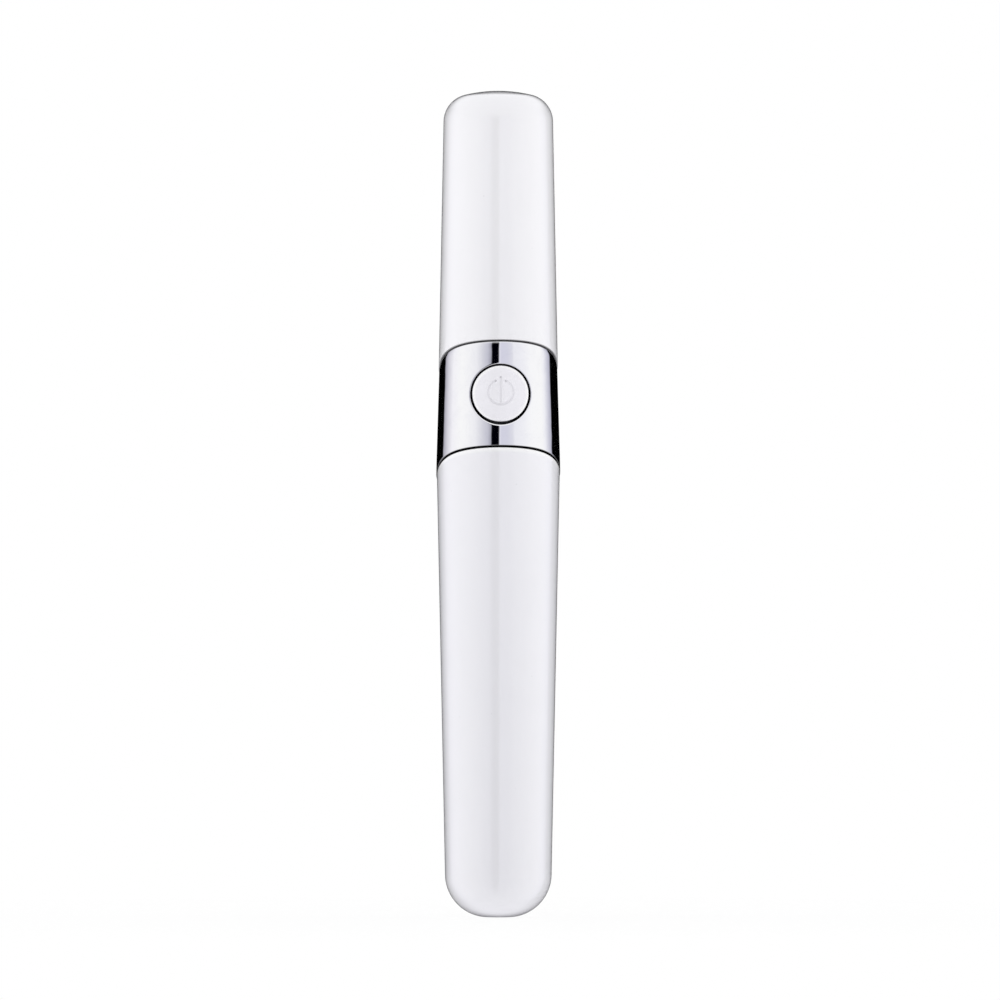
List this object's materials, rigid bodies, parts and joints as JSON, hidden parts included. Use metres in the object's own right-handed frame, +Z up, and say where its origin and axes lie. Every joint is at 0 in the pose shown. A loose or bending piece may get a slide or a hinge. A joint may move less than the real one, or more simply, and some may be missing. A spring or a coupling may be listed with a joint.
{
  "type": "heated eye massager wand",
  "caption": "Slim battery wand with a warm vibrating metal tip under a pull-off cap, a chrome band with a power button, and a pull-off battery housing.",
  "frame": {"origin": "centre of the flat on the rounded lower end, on the wand's axis", "axes": "+Z up along the wand towards the cap, -Y towards the power button, +X to the right seen from the button's side"},
  "size_m": [0.0218, 0.0218, 0.145],
  "materials": {
    "cap_plastic": "glossy white ABS",
    "sleeve_plastic": "glossy white ABS",
    "ring_chrome": "mirror chrome plating",
    "button_plastic": "satin white ABS",
    "frame_plastic": "dark moulded ABS",
    "seal_rubber": "black silicone rubber",
    "battery_wrap": "printed film over a steel can",
    "contact_nickel": "nickel-plated spring steel",
    "board_laminate": "green solder mask",
    "screw_steel": "zinc-plated steel",
    "switch_plastic": "black nylon",
    "switch_steel": "stamped steel",
    "plunger_plastic": "black nylon",
    "chip_epoxy": "moulded epoxy",
    "coil_ferrite": "ferrite",
    "capacitor_ceramic": "tan ceramic",
    "head_plastic": "white ABS",
    "motor_steel": "drawn steel can",
    "motor_cap_plastic": "white nylon",
    "shaft_steel": "ground steel",
    "weight_tungsten": "sintered tungsten",
    "boot_rubber": "soft black rubber",
    "holder_plastic": "dark moulded ABS",
    "collar_silicone": "light grey silicone",
    "tip_metal": "polished zinc alloy",
    "heater_ceramic": "white ceramic heater",
    "bead_epoxy": "epoxy bead",
    "lead_red": "red silicone insulation",
    "lead_black": "black silicone insulation",
    "lead_white": "white silicone insulation"
  },
  "bodies": {
    "handle": {"trim_ring": "ring_chrome", "inner_frame": "frame_plastic", "sleeve_o_ring": "seal_rubber", "neck_o_ring": "seal_rubber", "battery_cell": "battery_wrap", "battery_spring": "contact_nickel", "negative_contact": "contact_nickel", "positive_contact": "contact_nickel", "circuit_board": "board_laminate", "board_screws": "screw_steel", "tact_switch_base": "switch_plastic", "tact_switch_cover": "switch_steel", "controller_chip": "chip_epoxy", "boost_inductor": "coil_ferrite", "capacitors": "capacitor_ceramic", "head_shell": "head_plastic", "motor_can": "motor_steel", "motor_end_cap": "motor_cap_plastic", "motor_boot": "boot_rubber", "motor_holder": "holder_plastic", "tip_collar": "collar_silicone", "massage_tip": "tip_metal", "heater_plate": "heater_ceramic", "thermistor": "bead_epoxy", "motor_lead_red": "lead_red", "motor_lead_black": "lead_black", "heater_leads": "lead_white", "ground_lead": "lead_black"},
    "cap": {"cap": "cap_plastic"},
    "battery_sleeve": {"battery_sleeve": "sleeve_plastic"},
    "power_button": {"power_button": "button_plastic"},
    "switch_plunger": {"tact_switch_plunger": "plunger_plastic"},
    "motor_rotor": {"motor_shaft": "shaft_steel", "eccentric_weight": "weight_tungsten"}
  },
  "joints": [
    {"name": "cap_pull", "type": "slide", "parent": "handle", "child": "cap", "axis": [0, 0, 1], "range_m": [0, 0.052]},
    {"name": "sleeve_pull", "type": "slide", "parent": "handle", "child": "battery_sleeve", "axis": [0, 0, -1], "range_m": [0, 0.078]},
    {"name": "button_press", "type": "slide", "parent": "handle", "child": "power_button", "axis": [0, 1, 0], "range_m": [0, 0.0004], "stiffness_N_per_m": 800, "springref_m": -0.001},
    {"name": "plunger_press", "type": "slide", "parent": "handle", "child": "switch_plunger", "axis": [0, 1, 0], "range_m": [0, 0.0004]},
    {"name": "motor_spin", "type": "hinge", "parent": "handle", "child": "motor_rotor", "pos_m": [0, 0, 0.1074], "axis": [0, 0, 1], "continuous": true}
  ],
  "couplings": [
    {"joint": "plunger_press", "follows": "button_press", "ratio": 1}
  ]
}
